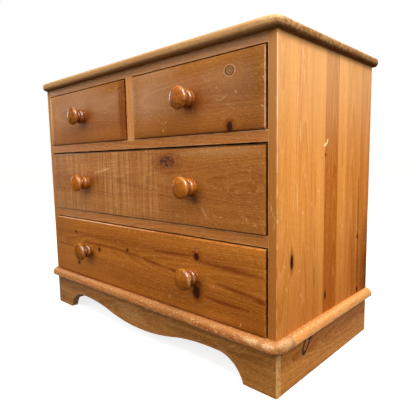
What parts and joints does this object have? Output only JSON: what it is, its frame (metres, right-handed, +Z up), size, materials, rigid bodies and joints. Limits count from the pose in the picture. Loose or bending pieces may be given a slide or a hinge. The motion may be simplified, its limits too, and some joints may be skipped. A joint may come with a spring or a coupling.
{
  "type": "chest of drawers",
  "caption": "Low pine chest of drawers: small drawers side by side over full-width ones, turned knobs, round-edged top, moulded base and a shaped plinth with bracket feet.",
  "frame": {"origin": "on the floor, under the middle of the whole chest's box, knobs included", "axes": "+X along the front towards the viewer's right, +Y from the front to the back, +Z up"},
  "size_m": [0.882, 0.48, 0.699],
  "materials": {
    "varnished_pine": "satin varnish, worn",
    "turned_knob": "gloss varnish",
    "bare_pine": "planed, unfinished",
    "plywood": "sanded sheet",
    "steel": "zinc plated"
  },
  "bodies": {
    "carcase": {"top_board": "varnished_pine", "side_panel_left": "varnished_pine", "side_panel_right": "varnished_pine", "back_panel": "plywood", "top_rail_front": "varnished_pine", "middle_rail_front": "varnished_pine", "lower_rail_front": "varnished_pine", "drawer_divider": "varnished_pine", "top_rail_rear": "bare_pine", "middle_rail_rear": "bare_pine", "upper_runner_left": "bare_pine", "upper_runner_centre": "bare_pine", "upper_runner_right": "bare_pine", "lower_runner_left": "bare_pine", "lower_runner_right": "bare_pine", "centre_guide": "bare_pine", "kickers": "bare_pine", "base_board_front": "varnished_pine", "base_board_left": "varnished_pine", "base_board_right": "varnished_pine", "base_board_rear": "bare_pine", "plinth_front": "varnished_pine", "plinth_left": "varnished_pine", "plinth_right": "varnished_pine", "plinth_rear": "bare_pine", "corner_blocks": "bare_pine", "drawer_stops": "bare_pine", "wood_screws": "steel", "back_pins": "steel"},
    "upper_left_drawer": {"upper_left_drawer_front": "varnished_pine", "upper_left_drawer_side_left": "bare_pine", "upper_left_drawer_side_right": "bare_pine", "upper_left_drawer_back": "bare_pine", "upper_left_drawer_bottom": "plywood", "upper_left_drawer_knob": "turned_knob", "upper_left_drawer_knob_screw": "steel"},
    "upper_right_drawer": {"upper_right_drawer_front": "varnished_pine", "upper_right_drawer_side_left": "bare_pine", "upper_right_drawer_side_right": "bare_pine", "upper_right_drawer_back": "bare_pine", "upper_right_drawer_bottom": "plywood", "upper_right_drawer_knob": "turned_knob", "upper_right_drawer_knob_screw": "steel"},
    "middle_drawer": {"middle_drawer_front": "varnished_pine", "middle_drawer_side_left": "bare_pine", "middle_drawer_side_right": "bare_pine", "middle_drawer_back": "bare_pine", "middle_drawer_bottom": "plywood", "middle_drawer_knob_left": "turned_knob", "middle_drawer_knob_right": "turned_knob", "middle_drawer_knob_screws": "steel"},
    "bottom_drawer": {"bottom_drawer_front": "varnished_pine", "bottom_drawer_side_left": "bare_pine", "bottom_drawer_side_right": "bare_pine", "bottom_drawer_back": "bare_pine", "bottom_drawer_bottom": "plywood", "bottom_drawer_knob_left": "turned_knob", "bottom_drawer_knob_right": "turned_knob", "bottom_drawer_knob_screws": "steel"}
  },
  "joints": [
    {"name": "upper_left_drawer_slide", "type": "slide", "parent": "carcase", "child": "upper_left_drawer", "axis": [0, -1, 0], "range_m": [0, 0.3]},
    {"name": "upper_right_drawer_slide", "type": "slide", "parent": "carcase", "child": "upper_right_drawer", "axis": [0, -1, 0], "range_m": [0, 0.3]},
    {"name": "middle_drawer_slide", "type": "slide", "parent": "carcase", "child": "middle_drawer", "axis": [0, -1, 0], "range_m": [0, 0.3]},
    {"name": "bottom_drawer_slide", "type": "slide", "parent": "carcase", "child": "bottom_drawer", "axis": [0, -1, 0], "range_m": [0, 0.3]}
  ]
}
